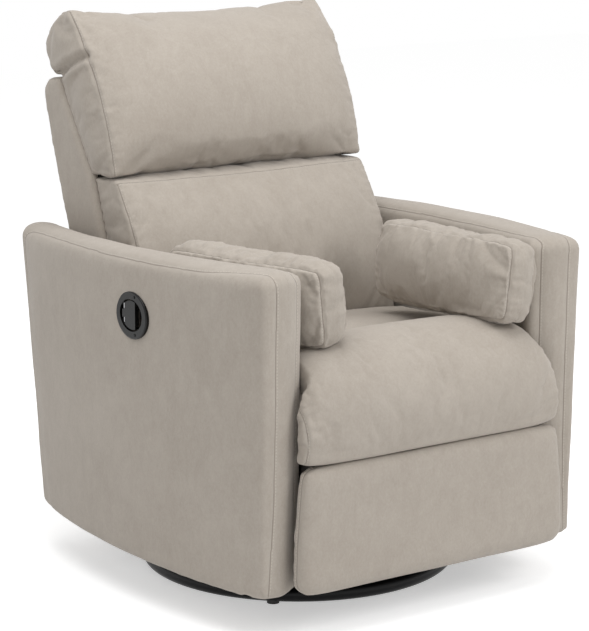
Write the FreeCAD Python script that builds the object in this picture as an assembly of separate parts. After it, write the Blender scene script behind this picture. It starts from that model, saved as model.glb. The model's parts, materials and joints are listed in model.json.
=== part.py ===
import FreeCAD, Part
import math
import os

# A swivel glider recliner. Millimetres. The front is -Y, +Z is up, and the
# origin is on the floor under the swivel axis. The sitter's right is -X.
# Points of a side view are (y, z).

# fits shared by every mechanism
RUNNING_FIT = 0.05
SOFT_GAP = 0.3
WASHER = 2.0
LINK_THICK = 5.0
PIN_RADIUS = 5.0
PIN_HEAD_RIM = 4.0
PIN_HEAD_THICK = 3.0
WASHER_PLAY = 0.2

# floor ring and hub
RING_TUBE_RADIUS = 14.0
RING_CENTRE_RADIUS = 275.0
RING_HEIGHT = 17.0
GLIDE_PAD_RADIUS = 11.0
GLIDE_PAD_TOP = 8.0
BAR_WIDTH = 40.0
BAR_THICK = 16.0
BAR_OVERHANG = 6.0
BAR_BOTTOM = RING_HEIGHT + 10.0
BAR_TOP = BAR_BOTTOM + BAR_THICK
HUB_RADIUS = 60.0
HUB_THICK = 6.0
HUB_TOP = BAR_TOP + HUB_THICK
POST_RADIUS = 16.0

# swivel plate
THRUST_THICK = 3.0
PLATE_THICK = 5.0
PLATE_HALF_WIDTH = 90.0
PLATE_BOTTOM = HUB_TOP + THRUST_THICK
PLATE_TOP = PLATE_BOTTOM + PLATE_THICK
SLEEVE_RADIUS = 24.0
SLEEVE_TOP = PLATE_TOP + 23.0
COLLAR_TOP = SLEEVE_TOP + 8.0
POST_TOP = COLLAR_TOP + 2.0

# glide suspension, from the rails outwards
GLIDE_Y = 150.0
GLIDE_LINK_LENGTH = 100.0
GLIDE_LINK_WIDTH = 28.0
GLIDE_BOTTOM_Z = PLATE_TOP + 38.0
GLIDE_TOP_Z = GLIDE_BOTTOM_Z + GLIDE_LINK_LENGTH
GLIDE_TIE_RADIUS = 6.0
RAIL_INNER = 142.0
RAIL_OUTER = RAIL_INNER + 6.0
GLIDE_LINK_INNER = RAIL_OUTER + WASHER
GLIDE_LINK_OUTER = GLIDE_LINK_INNER + LINK_THICK
HANGER_INNER = GLIDE_LINK_OUTER + 5.0
HANGER_OUTER = HANGER_INNER + 5.0
HANGER_WIDTH = 44.0
CROSSBAR_WIDTH = 30.0
CROSSBAR_TOP = PLATE_TOP + 15.0
SPACER_RADIUS = 9.0
BOLT_RADIUS = 3.0
BOLT_DEPTH = 20.0
BOLT_HEAD_RADIUS = 5.5
BOLT_HEAD_THICK = 3.5

# chassis
FRONT_TUBE_Y = -60.0
REAR_TUBE_Y = 215.0
TUBE_SIZE = 24.0
RAIL_BOTTOM = GLIDE_BOTTOM_Z - 17.0
RAIL_TOP = GLIDE_BOTTOM_Z + 23.0
RAIL_FRONT = -GLIDE_Y - 35.0
RAIL_REAR = REAR_TUBE_Y + 20.0
TUBE_TOP = RAIL_TOP + TUBE_SIZE
ARM_BOLT_RADIUS = 4.0
ARM_BOLT_DEPTH = 25.0
ARM_BOLT_HEAD_RADIUS = 8.0
ARM_BOLT_HEAD_THICK = 4.0

# seat tracks
TRACK_X = 220.0
TRACK_WIDTH = 24.0
TRACK_HEIGHT = 20.0
TRACK_WALL = 4.0
TRACK_FRONT = -265.0
TRACK_REAR = 270.0
TRACK_BOTTOM = TUBE_TOP + 94.0
TRACK_TOP = TRACK_BOTTOM + TRACK_HEIGHT
RUNNER_HALF_LENGTH = 235.0

# seat frame
FRAME_RAIL_WIDTH = 30.0
FRAME_RAIL_HEIGHT = 48.0
FRAME_INNER = TRACK_X - FRAME_RAIL_WIDTH / 2
FRAME_OUTER = TRACK_X + FRAME_RAIL_WIDTH / 2
FRAME_BOTTOM = TRACK_TOP + 6.0
FRAME_TOP = FRAME_BOTTOM + FRAME_RAIL_HEIGHT
FRAME_FRONT = -365.0
CROSS_RAIL_WIDTH = 30.0
CROSS_RAIL_HEIGHT = 26.0
REAR_CROSS_RAIL_Y = 30.0
SPRING_RADIUS = 1.9
SPRING_PITCH = 80.0
SPRING_SWING = 16.0
SPRING_TOP = FRAME_TOP + 2 * SPRING_RADIUS

# seat cushions
SEAT_FLOOR = SPRING_TOP + SOFT_GAP
SEAT_CROWN = FRAME_TOP + 171.0
SEAT_FRONT = FRAME_FRONT - 50.0
SEAT_TOE_Z = FRAME_TOP - 8.0
SEAT_CREASE_Y = -187.0

# back, with its points measured from the hinge
BACK_PIVOT = (95.0, FRAME_BOTTOM + 30.0)
FRAME_REAR = BACK_PIVOT[0] + 20.0
BACK_PIN_RADIUS = 6.0
BRACKET_INNER = FRAME_OUTER + WASHER
STILE_INNER = BRACKET_INNER + LINK_THICK
STILE_WIDTH = 24.0
STILE_DEPTH = 26.0
STILE_OUTER = STILE_INNER + STILE_WIDTH
STILE_BENDS = [(49, 108), (122, 314), (157, 416), (252, 560)]
BACK_RAIL_HEIGHT = 34.0
BACK_RAIL_STEPS = (114, 308, 520)
WEB_WIDTH = 45.0
WEB_THICK = 2.0
WEB_STEPS = (168, 238, 358, 453)
SHELL_HALF = STILE_OUTER + 20.0
SHELL_TOP = 587.0
SHELL_ROUNDING = 10.0
SHELL_OUTSIDE = [(264, 587), (309, 581), (324, 565), (322, 540), (299, 458), (249, 319), (162, 88)]
SHELL_MOUTH_Z = 68.0
BACK_HALF = SHELL_HALF - 7.0

# arms, with their widths measured from the side of the back
ARM_BOTTOM_FRONT = 75.0
ARM_BOTTOM_REAR = 84.0
ARM_TOP_FRONT = 624.0
ARM_TOP_REAR = 611.0
ARM_FRONT = -378.0
ARM_LENGTH = 760.0
ARM_FRONT_INNER = SHELL_HALF - 38.0
ARM_REAR_INNER = SHELL_HALF + 7.0
ARM_SWELL = SHELL_HALF + 116.0
ARM_TOE_IN = 25.0
ARM_BOARD_INNER = SHELL_HALF + 32.0
ARM_BOARD_OUTER = ARM_BOARD_INNER + 18.0
ARM_BOARD_FRONT = ARM_FRONT + 43.0
ARM_BOARD_REAR = ARM_FRONT + ARM_LENGTH - 37.0
ARM_BOARD_BOTTOM = ARM_BOTTOM_REAR + 2.0
ARM_BOARD_TOP = 585.0

# back closing panel between the arms
STRETCHER_THICK = 20.0
STRETCHER_HEIGHT = 40.0
STRETCHER_REAR = ARM_BOARD_REAR - 25.0
STRETCHER_FRONT = STRETCHER_REAR - STRETCHER_THICK
STRETCHER_BOTTOM = ARM_BOTTOM_REAR + 16.0
STRETCHER_TOP = STRETCHER_BOTTOM + STRETCHER_HEIGHT
PANEL_HALF = ARM_REAR_INNER - 4.0
PANEL_THICK = 20.0
PANEL_BOTTOM = ARM_BOTTOM_REAR + 4.0
PANEL_TOP = 315.0
PANEL_ROUNDING = 6.0

# release handle, oval sizes as half of (y, z)
LATCH_Y = -68.0
LATCH_Z = 517.0
BEZEL_HALF = (48.5, 41.5)
CUP_HALF = (38.0, 31.0)
RECESS_HALF = (35.0, 28.0)
PADDLE_HALF = (32.0, 25.0)
BEZEL_FACE = -(ARM_SWELL - 1.5)
BEZEL_BACK = BEZEL_FACE + 6.5
BEZEL_ROUNDING = 2.5
CUP_BACK = BEZEL_BACK + 25.0
CUP_FLOOR = 3.0
BOSS_HALF = 12.0
PADDLE_FACE = BEZEL_FACE + 1.5
PADDLE_THICK = 5.0
PADDLE_FRONT = LATCH_Y - 11.0
PADDLE_REAR = LATCH_Y + 22.0
LIP_THICK = 4.0
LIP_DEPTH = 3.0
HANDLE_PIVOT = (PADDLE_FACE + 4.5, LATCH_Y + 29.0)
BARREL_RADIUS = 4.5
BARREL_HALF = 7.0
LATCH_PIN_RADIUS = 1.6
LATCH_PIN_HALF = 19.0
LATCH_SCREW_RADIUS = 1.5
LATCH_SCREW_HEAD_RADIUS = 2.6
LATCH_SCREW_HEAD_THICK = 1.0
LATCH_SCREW_Y = LATCH_Y - 11.0
LATCH_SCREW_SPREAD = 33.0

# footrest linkage, with the footrest folded in
MOUNT_PLATE_THICK = 6.0
CONTROL_LAYER = FRAME_INNER - MOUNT_PLATE_THICK
ARM_LAYER = CONTROL_LAYER - WASHER - LINK_THICK
CARRIER_LAYER = ARM_LAYER - WASHER - LINK_THICK
ARM_PIVOT = (FRAME_FRONT + 71.0, FRAME_BOTTOM)
ARM_VECTOR = (45.0, -165.0)
REAR_OFFSET = (40.0, -22.0)
PANEL_PIVOT = (ARM_PIVOT[0] - 58.0, ARM_PIVOT[1] - 57.0)
CONTROL_SHARE = 55.0 / math.hypot(*ARM_VECTOR)
FOOT_ARM_WIDTH = 24.0
FOOT_LINK_WIDTH = 20.0
ARM_TUBE_RADIUS = 9.0
CARRIER_TUBE_RADIUS = 8.0
STUD_HEAD_THICK = 0.9
CARRIER_HEAD_THICK = 1.8

# footrest
FOOT_BOARD_BACK = PANEL_PIVOT[0] - 26.0
FOOT_BOARD_FRONT = FOOT_BOARD_BACK - 12.0
FOOT_TOP = SEAT_TOE_Z - 6.0
FOOT_BOTTOM = FOOT_TOP - 214.0
FOOT_BOARD_BOTTOM = FOOT_BOTTOM + 18.0
FOOT_BOARD_TOP = FOOT_TOP - 16.0
FOOT_BOARD_HALF = SHELL_HALF - 36.0
FOOT_HALF_LOW = SHELL_HALF + 2.0
FOOT_HALF_HIGH = SHELL_HALF - 10.0
FOOT_PAD_BACK = FOOT_BOARD_BACK - 1.0
FOOT_PAD_EDGE = FOOT_PAD_BACK - 23.0
FOOT_PAD_FACE = FOOT_PAD_EDGE - 11.0
FLANGE_THICK = 3.0
FLANGE_WIDTH = 27.0
FLANGE_BACK = FOOT_BOARD_BACK + FLANGE_THICK
FLANGE_BOTTOM = PANEL_PIVOT[1] - 40.0
FLANGE_TOP = PANEL_PIVOT[1] + 60.0
FOOT_SCREW_RADIUS = 2.5
FOOT_SCREW_HEAD_RADIUS = 5.0
FOOT_SCREW_DEPTH = 9.0
FOOT_SCREW_X = ARM_LAYER - 14.0
FOOT_SCREW_HEIGHTS = (PANEL_PIVOT[1] - 20.0, PANEL_PIVOT[1] + 30.0)

# side pillows
PILLOW_LENGTH = 348.0
PILLOW_HEIGHT = 148.0
PILLOW_EDGE = 58.0
PILLOW_CROWN = 96.0
PILLOW_REST_LEFT = SEAT_CROWN + 0.2
PILLOW_REST_RIGHT = SEAT_CROWN - 0.05
PILLOW_LEAN = 7.0


def vec(x, y, z):
    return FreeCAD.Vector(x, y, z)


def box(x0, x1, y0, y1, z0, z1):
    """A block between two corners."""
    return Part.makeBox(x1 - x0, y1 - y0, z1 - z0, vec(x0, y0, z0))


def rod_x(radius, x0, x1, at):
    """A round rod along X at the (y, z) point."""
    return Part.makeCylinder(radius, x1 - x0, vec(x0, at[0], at[1]), vec(1, 0, 0))


def rod_z(radius, z0, z1, x=0.0, y=0.0):
    """A round rod along Z."""
    return Part.makeCylinder(radius, z1 - z0, vec(x, y, z0))


def plate_x(points, x0, x1):
    """A flat plate with a (y, z) outline, x0 to x1 thick."""
    corners = [vec(x0, y, z) for y, z in points]
    face = Part.Face(Part.makePolygon(corners + corners[:1]))
    return face.extrude(vec(x1 - x0, 0, 0))


def bar(a, b, width, x0, x1):
    """A flat bar with round ends from pivot a to pivot b."""
    length = math.hypot(b[0] - a[0], b[1] - a[1])
    side = (-(b[1] - a[1]) / length * width / 2, (b[0] - a[0]) / length * width / 2)
    corners = [
        (a[0] + side[0], a[1] + side[1]),
        (b[0] + side[0], b[1] + side[1]),
        (b[0] - side[0], b[1] - side[1]),
        (a[0] - side[0], a[1] - side[1]),
    ]
    body = plate_x(corners, x0, x1)
    ends = [rod_x(width / 2, x0, x1, a), rod_x(width / 2, x0, x1, b)]
    return body.fuse(ends).removeSplitter()


def bore(shape, points, radius, x0, x1):
    """Drill round holes along X."""
    return shape.cut([rod_x(radius, x0 - 1, x1 + 1, p) for p in points])


def mirrored(shape):
    """The same piece on the other side of the chair."""
    return shape.mirror(vec(0, 0, 0), vec(1, 0, 0))


def both(shape):
    """The piece and its mirror image."""
    return [shape, mirrored(shape)]


def offset(point, vector, share=1.0):
    return (point[0] + vector[0] * share, point[1] + vector[1] * share)


def arc(a, b, c):
    return Part.Arc(vec(*a), vec(*b), vec(*c)).toShape()


def line(a, b):
    return Part.makeLine(vec(*a), vec(*b))


def loft(wires, ruled=False):
    return Part.makeLoft(wires, True, ruled)


def save(name, shapes):
    """Write one named piece, or a group of identical ones."""
    shape = shapes if isinstance(shapes, Part.Shape) else Part.makeCompound(shapes)
    shape.exportStep("parts/" + name + ".step")


# Floor ring and hub


def floor_ring():
    return Part.makeTorus(RING_CENTRE_RADIUS, RING_TUBE_RADIUS, vec(0, 0, RING_HEIGHT))


def ring_glides():
    """Four plastic pads under the ring, hollowed to fit the tube."""
    ring = floor_ring()
    pads = []
    for quarter in range(4):
        angle = math.radians(45 + 90 * quarter)
        x = RING_CENTRE_RADIUS * math.cos(angle)
        y = RING_CENTRE_RADIUS * math.sin(angle)
        pads.append(rod_z(GLIDE_PAD_RADIUS, 0, GLIDE_PAD_TOP, x, y).cut(ring))
    return pads


def base_crossbars():
    """Two bars crossing under the hub, resting on the ring."""
    reach = RING_CENTRE_RADIUS + BAR_OVERHANG
    one = box(-reach, reach, -BAR_WIDTH / 2, BAR_WIDTH / 2, BAR_BOTTOM, BAR_TOP)
    other = one.copy()
    one.rotate(vec(0, 0, 0), vec(0, 0, 1), 45)
    other.rotate(vec(0, 0, 0), vec(0, 0, 1), 135)
    return one.fuse(other).cut(floor_ring()).removeSplitter()


def hub_post():
    return rod_z(HUB_RADIUS, BAR_TOP, HUB_TOP).fuse(rod_z(POST_RADIUS, HUB_TOP, POST_TOP))


def thrust_washer():
    return rod_z(HUB_RADIUS - 2, HUB_TOP, PLATE_BOTTOM).cut(
        rod_z(POST_RADIUS + 0.5, HUB_TOP, PLATE_BOTTOM)
    )


def post_collar():
    return rod_z(SLEEVE_RADIUS, SLEEVE_TOP, COLLAR_TOP).cut(
        rod_z(POST_RADIUS, SLEEVE_TOP, COLLAR_TOP)
    )


# Swivel carriage with the four glide hangers


def swivel_plate():
    half_length = GLIDE_Y + 20
    plate = box(
        -PLATE_HALF_WIDTH, PLATE_HALF_WIDTH, -half_length, half_length, PLATE_BOTTOM, PLATE_TOP
    )
    sleeve = rod_z(SLEEVE_RADIUS, PLATE_TOP, SLEEVE_TOP)
    hole = rod_z(POST_RADIUS + RUNNING_FIT, PLATE_BOTTOM, SLEEVE_TOP)
    return plate.fuse(sleeve).cut(hole).removeSplitter()


def hanger_bolt_points():
    return [(end * GLIDE_Y, (PLATE_TOP + CROSSBAR_TOP) / 2) for end in (-1, 1)]


def glide_crossbars():
    bars = []
    half = CROSSBAR_WIDTH / 2
    for y, z in hanger_bolt_points():
        block = box(-HANGER_INNER, HANGER_INNER, y - half, y + half, PLATE_TOP, CROSSBAR_TOP)
        holes = both(rod_x(BOLT_RADIUS, HANGER_INNER - BOLT_DEPTH, HANGER_INNER, (y, z)))
        bars.append(block.cut(holes))
    return bars


def hanger_brackets():
    """Upright plates that carry the top pivots of the glide links."""
    x0 = HANGER_INNER
    x1 = HANGER_OUTER
    half = HANGER_WIDTH / 2
    hangers = []
    for y, z in hanger_bolt_points():
        foot = box(x0, x1, y - half, y + half, PLATE_TOP, GLIDE_TOP_Z)
        plate = foot.fuse(rod_x(half, x0, x1, (y, GLIDE_TOP_Z))).removeSplitter()
        plate = bore(plate, [(y, GLIDE_TOP_Z)], PIN_RADIUS, x0, x1)
        plate = bore(plate, [(y, z)], BOLT_RADIUS, x0, x1)
        hangers += both(plate)
    return hangers


def hanger_bolts():
    bolts = []
    for point in hanger_bolt_points():
        shank = rod_x(BOLT_RADIUS, HANGER_INNER - BOLT_DEPTH, HANGER_OUTER, point)
        head = rod_x(BOLT_HEAD_RADIUS, HANGER_OUTER, HANGER_OUTER + BOLT_HEAD_THICK, point)
        bolts += both(shank.fuse(head).removeSplitter())
    return bolts


def headed_pin(radius, x0, x1, point, inner_head, outer_head):
    """A pivot pin along X with a flat head of either thickness, or none."""
    pin = rod_x(radius, x0, x1, point)
    if inner_head:
        pin = pin.fuse(rod_x(radius + PIN_HEAD_RIM, x0 - inner_head, x0, point))
    if outer_head:
        pin = pin.fuse(rod_x(radius + PIN_HEAD_RIM, x1, x1 + outer_head, point))
    return pin.removeSplitter()


def glide_pins(x0, x1, z):
    """Pins headed at both ends, one for each corner of the suspension."""
    pins = []
    for end in (-1, 1):
        point = (end * GLIDE_Y, z)
        pins += both(headed_pin(PIN_RADIUS, x0, x1, point, PIN_HEAD_THICK, PIN_HEAD_THICK))
    return pins


def glide_top_pins():
    return glide_pins(GLIDE_LINK_INNER, HANGER_OUTER, GLIDE_TOP_Z)


def ring_x(radius, hole, x0, x1, point):
    """A washer or spacer along X."""
    return rod_x(radius, x0, x1, point).cut(rod_x(hole, x0, x1, point))


def glide_rings(x0, x1, z):
    rings = []
    for end in (-1, 1):
        rings += both(ring_x(SPACER_RADIUS, PIN_RADIUS, x0, x1, (end * GLIDE_Y, z)))
    return rings


def glide_spacers():
    return glide_rings(GLIDE_LINK_OUTER, HANGER_INNER, GLIDE_TOP_Z)


def glide_link_pair(y):
    """Two hanging links tied by a rod halfway down."""
    top = (y, GLIDE_TOP_Z)
    bottom = (y, GLIDE_BOTTOM_Z)
    link = bar(top, bottom, GLIDE_LINK_WIDTH, GLIDE_LINK_INNER, GLIDE_LINK_OUTER)
    hole = PIN_RADIUS + RUNNING_FIT
    link = bore(link, [top, bottom], hole, GLIDE_LINK_INNER, GLIDE_LINK_OUTER)
    middle = (y, (GLIDE_TOP_Z + GLIDE_BOTTOM_Z) / 2)
    tie = rod_x(GLIDE_TIE_RADIUS, -GLIDE_LINK_INNER, GLIDE_LINK_INNER, middle)
    return both(link) + [tie]


# Chassis that hangs on the glide links


def chassis_rails():
    rail = box(RAIL_INNER, RAIL_OUTER, RAIL_FRONT, RAIL_REAR, RAIL_BOTTOM, RAIL_TOP)
    points = [(-GLIDE_Y, GLIDE_BOTTOM_Z), (GLIDE_Y, GLIDE_BOTTOM_Z)]
    return both(bore(rail, points, PIN_RADIUS, RAIL_INNER, RAIL_OUTER))


def glide_bottom_pins():
    return glide_pins(RAIL_INNER, GLIDE_LINK_OUTER, GLIDE_BOTTOM_Z)


def glide_washers():
    return glide_rings(RAIL_OUTER, GLIDE_LINK_INNER, GLIDE_BOTTOM_Z)


def arm_bolt_points():
    return [(y, RAIL_TOP + TUBE_SIZE / 2) for y in (FRONT_TUBE_Y, REAR_TUBE_Y)]


def chassis_cross_tubes():
    """Square tubes across the rails, out to the arm boards."""
    tubes = []
    half = TUBE_SIZE / 2
    start = ARM_BOARD_INNER - ARM_BOLT_DEPTH
    for y, z in arm_bolt_points():
        tube = box(-ARM_BOARD_INNER, ARM_BOARD_INNER, y - half, y + half, RAIL_TOP, TUBE_TOP)
        holes = both(rod_x(ARM_BOLT_RADIUS, start, ARM_BOARD_INNER, (y, z)))
        tubes.append(tube.cut(holes))
    return tubes


def arm_bolts():
    bolts = []
    head_end = ARM_BOARD_OUTER + ARM_BOLT_HEAD_THICK
    for point in arm_bolt_points():
        shank = rod_x(ARM_BOLT_RADIUS, ARM_BOARD_INNER - ARM_BOLT_DEPTH, ARM_BOARD_OUTER, point)
        head = rod_x(ARM_BOLT_HEAD_RADIUS, ARM_BOARD_OUTER, head_end, point)
        bolts += both(shank.fuse(head).removeSplitter())
    return bolts


def track_posts():
    posts = []
    half = TRACK_WIDTH / 2
    x0 = TRACK_X - half
    x1 = TRACK_X + half
    for y in (FRONT_TUBE_Y, REAR_TUBE_Y):
        posts += both(box(x0, x1, y - half, y + half, TUBE_TOP, TRACK_BOTTOM))
    return posts


def seat_tracks():
    """Channels open at the top, for the runners."""
    half = TRACK_WIDTH / 2
    inside = half - TRACK_WALL
    floor = TRACK_BOTTOM + TRACK_WALL
    channel = box(TRACK_X - half, TRACK_X + half, TRACK_FRONT, TRACK_REAR, TRACK_BOTTOM, TRACK_TOP)
    groove = box(TRACK_X - inside, TRACK_X + inside, TRACK_FRONT, TRACK_REAR, floor, TRACK_TOP)
    return both(channel.cut(groove))


def stretcher_bar(x0, x1, gap=0.0):
    return box(
        x0, x1, STRETCHER_FRONT - gap, STRETCHER_REAR + gap,
        STRETCHER_BOTTOM - gap, STRETCHER_TOP + gap,
    )


def rear_stretcher():
    return stretcher_bar(-ARM_BOARD_INNER, ARM_BOARD_INNER)


def rear_panel():
    """The upholstered panel that closes the back between the arms."""
    rear = STRETCHER_REAR + PANEL_THICK
    panel = box(-PANEL_HALF, PANEL_HALF, STRETCHER_REAR, rear, PANEL_BOTTOM, PANEL_TOP)
    return panel.makeFillet(PANEL_ROUNDING, panel.Edges)


# Arms


def arm_board():
    board = box(
        ARM_BOARD_INNER, ARM_BOARD_OUTER, ARM_BOARD_FRONT, ARM_BOARD_REAR,
        ARM_BOARD_BOTTOM, ARM_BOARD_TOP,
    )
    return bore(board, arm_bolt_points(), ARM_BOLT_RADIUS, ARM_BOARD_INNER, ARM_BOARD_OUTER)


def between(low, high, share):
    return low + (high - low) * share


def arm_outline(share, inset):
    """Plan of one arm at a share of its height, in the plane that the top slopes in."""

    def at(x, y):
        along = (y - ARM_FRONT) / ARM_LENGTH
        floor = between(ARM_BOTTOM_FRONT, ARM_BOTTOM_REAR, along)
        lid = between(ARM_TOP_FRONT, ARM_TOP_REAR, along)
        return (x, y, between(floor, lid, share))

    front = between(ARM_FRONT + 11, ARM_FRONT, share) + inset
    rear = ARM_FRONT + ARM_LENGTH - between(76, 36, share) - inset
    swell = between(ARM_SWELL - 17, ARM_SWELL, share) - inset
    front_out = at(between(SHELL_HALF + 51, SHELL_HALF + 55, share) - inset, front)
    front_in = at(ARM_FRONT_INNER + inset, front + ARM_TOE_IN)
    front_nose = at(ARM_FRONT_INNER + 44, front + 2)
    rear_out = at(between(ARM_SWELL - 45, ARM_SWELL - 29, share) - inset, rear)
    rear_in = at(ARM_REAR_INNER + inset, rear)
    rear_nose = at(ARM_REAR_INNER + between(36, 40, share), rear + 36)
    waist = at(SHELL_HALF + 30 + inset, 20)
    edges = [
        arc(front_out, at(swell, 15), rear_out),
        arc(rear_out, rear_nose, rear_in),
        arc(rear_in, at(SHELL_HALF + 25 + inset, 180), waist),
        arc(waist, at(SHELL_HALF + 10 + inset, -126), front_in),
        arc(front_in, front_nose, front_out),
    ]
    return Part.Wire(edges)


def arm_body():
    """The padded arm, leaning out a little, its top rounded and sloping to the rear."""
    levels = [(0.0, 8), (0.016, 0), (0.965, 0), (0.984, 5), (0.995, 14), (1.0, 25)]
    return loft([arm_outline(share, inset) for share, inset in levels], True)


def arm_hollow():
    """Room inside the padding for the board, the tubes and the stretcher."""
    gap = SOFT_GAP
    board = box(
        ARM_BOARD_INNER - gap, ARM_BOARD_OUTER + gap, ARM_BOARD_FRONT - gap, ARM_BOARD_REAR + gap,
        ARM_BOTTOM_FRONT - 15, ARM_BOARD_TOP + gap,
    )
    rooms = [board, stretcher_bar(SHELL_HALF, ARM_BOARD_INNER, gap)]
    half = TUBE_SIZE / 2 + gap
    head_end = ARM_BOARD_OUTER + ARM_BOLT_HEAD_THICK + gap
    for y, z in arm_bolt_points():
        rooms.append(box(TRACK_X, ARM_BOARD_INNER, y - half, y + half, z - half, z + half))
        rooms.append(rod_x(ARM_BOLT_HEAD_RADIUS + gap, ARM_BOARD_OUTER, head_end, (y, z)))
    return rooms


def oval_x(x0, x1, half, gap=0.0):
    """An oval block along X at the latch, half its (y, z) size given."""
    edge = Part.Ellipse(vec(0, 0, 0), half[0] + gap, half[1] + gap).toShape()
    face = Part.Face(Part.Wire([edge]))
    turn = FreeCAD.Rotation(vec(0, 1, 0), vec(0, 0, 1), vec(1, 0, 0), "ZXY")
    face.Placement = FreeCAD.Placement(vec(x0, LATCH_Y, LATCH_Z), turn)
    return face.extrude(vec(x1 - x0, 0, 0))


def latch_boss(gap=0.0):
    """The block that holds the cup off the arm board."""
    half = BOSS_HALF + gap
    return box(CUP_BACK, -ARM_BOARD_OUTER, LATCH_Y - half, LATCH_Y + half, LATCH_Z - half, LATCH_Z + half)


def latch_hollow():
    gap = SOFT_GAP
    wide = oval_x(BEZEL_FACE - 20, BEZEL_BACK + gap, BEZEL_HALF, gap)
    deep = oval_x(BEZEL_BACK, CUP_BACK + gap, CUP_HALF, gap)
    return [wide, deep, latch_boss(gap)]


def arm_left():
    return mirrored(arm_body().cut(arm_hollow())).cut(latch_hollow())


def arm_right():
    return arm_body().cut(arm_hollow())


# Release handle in the right-hand arm of the sitter


def on_handle_pivot(radius, half):
    """A round rod on the upright axis of the handle."""
    return rod_z(radius, LATCH_Z - half, LATCH_Z + half, HANDLE_PIVOT[0], HANDLE_PIVOT[1])


def latch_pin():
    return on_handle_pivot(LATCH_PIN_RADIUS, LATCH_PIN_HALF)


def latch_screw_points():
    return [(LATCH_SCREW_Y, LATCH_Z + side * LATCH_SCREW_SPREAD) for side in (-1, 1)]


def latch_cup():
    rim = oval_x(BEZEL_FACE, BEZEL_BACK, BEZEL_HALF)
    face_edges = [e for e in rim.Edges if e.BoundBox.XMax < BEZEL_FACE + 1]
    rim = rim.makeFillet(BEZEL_ROUNDING, face_edges)
    cup = oval_x(BEZEL_BACK, CUP_BACK, CUP_HALF)
    recess = oval_x(BEZEL_FACE - 1, CUP_BACK - CUP_FLOOR, RECESS_HALF)
    body = rim.fuse([cup, latch_boss()]).cut(recess).cut(latch_pin())
    seats = [rod_x(LATCH_SCREW_RADIUS, BEZEL_FACE, BEZEL_BACK, p) for p in latch_screw_points()]
    return body.cut(seats)


def latch_screws():
    screws = []
    head_face = BEZEL_FACE - LATCH_SCREW_HEAD_THICK
    for point in latch_screw_points():
        shank = rod_x(LATCH_SCREW_RADIUS, BEZEL_FACE, BEZEL_BACK, point)
        head = rod_x(LATCH_SCREW_HEAD_RADIUS, head_face, BEZEL_FACE, point)
        screws.append(shank.fuse(head).removeSplitter())
    return screws


def paddle_slice(x0, x1, y0, y1):
    """Part of the paddle's oval between two y values."""
    reach = PADDLE_HALF[1] + 1
    window = box(x0, x1, y0, y1, LATCH_Z - reach, LATCH_Z + reach)
    return oval_x(x0, x1, PADDLE_HALF).common(window)


def release_handle():
    """A D-shaped paddle with a finger lip, and a short barrel on its pin."""
    back = PADDLE_FACE + PADDLE_THICK
    low = LATCH_Z - BARREL_HALF
    high = LATCH_Z + BARREL_HALF
    paddle = paddle_slice(PADDLE_FACE, back, PADDLE_FRONT, PADDLE_REAR)
    lip = paddle_slice(back, back + LIP_DEPTH, PADDLE_FRONT, PADDLE_FRONT + LIP_THICK)
    neck = box(PADDLE_FACE, back, PADDLE_REAR - 1, HANDLE_PIVOT[1], low, high)
    body = paddle.fuse([lip, neck, on_handle_pivot(BARREL_RADIUS, BARREL_HALF)])
    return body.cut(on_handle_pivot(LATCH_PIN_RADIUS + RUNNING_FIT, BARREL_HALF + 1))


# Seat


def seat_runners():
    half = TRACK_WIDTH / 2 - TRACK_WALL - SOFT_GAP
    reach = RUNNER_HALF_LENGTH
    floor = TRACK_BOTTOM + TRACK_WALL
    return both(box(TRACK_X - half, TRACK_X + half, -reach, reach, floor, FRAME_BOTTOM))


def seat_side_rails():
    rail = box(FRAME_INNER, FRAME_OUTER, FRAME_FRONT, FRAME_REAR, FRAME_BOTTOM, FRAME_TOP)
    return both(bore(rail, [BACK_PIVOT], BACK_PIN_RADIUS, FRAME_INNER, FRAME_OUTER))


def seat_cross_rails():
    rails = []
    for y in (FRAME_FRONT, REAR_CROSS_RAIL_Y):
        low = FRAME_TOP - CROSS_RAIL_HEIGHT
        rails.append(box(-FRAME_INNER, FRAME_INNER, y, y + CROSS_RAIL_WIDTH, low, FRAME_TOP))
    return rails


def sinuous_spring(x, y0, y1, turns, swing):
    """One zigzag wire spring lying along Y."""
    pitch = (y1 - y0) / turns
    z = FRAME_TOP + SPRING_RADIUS
    edges = []
    for i in range(turns):
        side = swing if i % 2 == 0 else -swing
        a = y0 + i * pitch
        edges.append(arc((x, a, z), (x + side, a + pitch / 2, z), (x, a + pitch, z)))
    start = vec(x, y0, z)
    circle = Part.Circle(start, edges[0].tangentAt(edges[0].FirstParameter), SPRING_RADIUS)
    profile = Part.Wire([circle.toShape()])
    return Part.Wire(edges).makePipeShell([profile], True, False, 1)


def seat_springs():
    """Five springs from the middle of the front rail to the middle of the rear one."""
    start = FRAME_FRONT + CROSS_RAIL_WIDTH / 2
    end = REAR_CROSS_RAIL_Y + CROSS_RAIL_WIDTH / 2
    return [sinuous_spring(SPRING_PITCH * i, start, end, 10, SPRING_SWING) for i in range(-2, 3)]


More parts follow.
